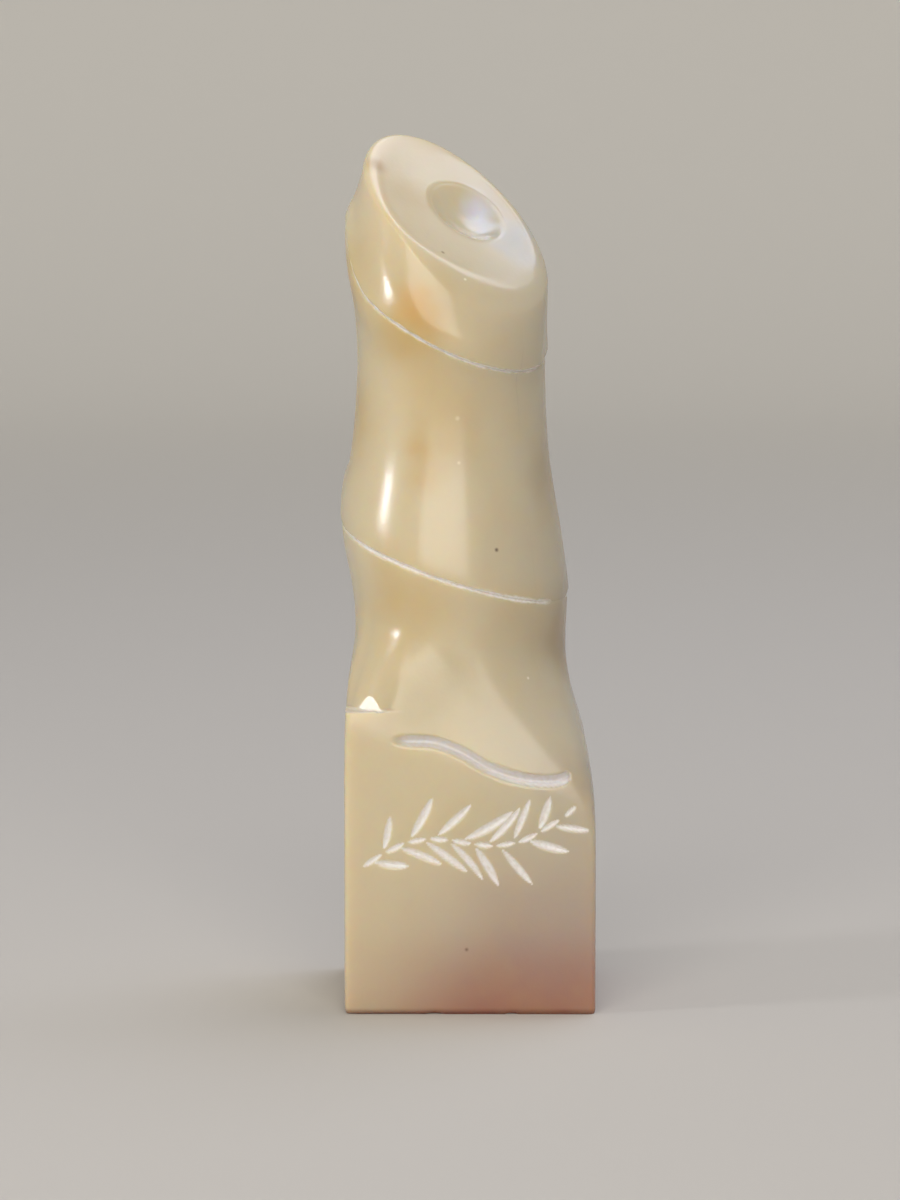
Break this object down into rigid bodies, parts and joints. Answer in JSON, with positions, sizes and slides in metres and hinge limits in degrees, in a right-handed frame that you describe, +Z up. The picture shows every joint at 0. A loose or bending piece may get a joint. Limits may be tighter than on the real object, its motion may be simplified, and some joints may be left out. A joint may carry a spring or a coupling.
{
  "type": "seal stamp",
  "caption": "Carved soapstone seal stamp: a square printing block that rises into a bamboo-culm grip, cut off at a slant with a shallow hollow.",
  "frame": {"origin": "centre of the printing face, on the plane that the seal stands on", "axes": "+Z up from the printing face along the grip, +Y away from the side with the S-shaped groove, +X to the right as that side is faced"},
  "size_m": [0.0205, 0.0202, 0.0697],
  "materials": {
    "soapstone": "polished"
  },
  "bodies": {
    "root": {"seal_stone": "soapstone"}
  },
  "joints": []
}
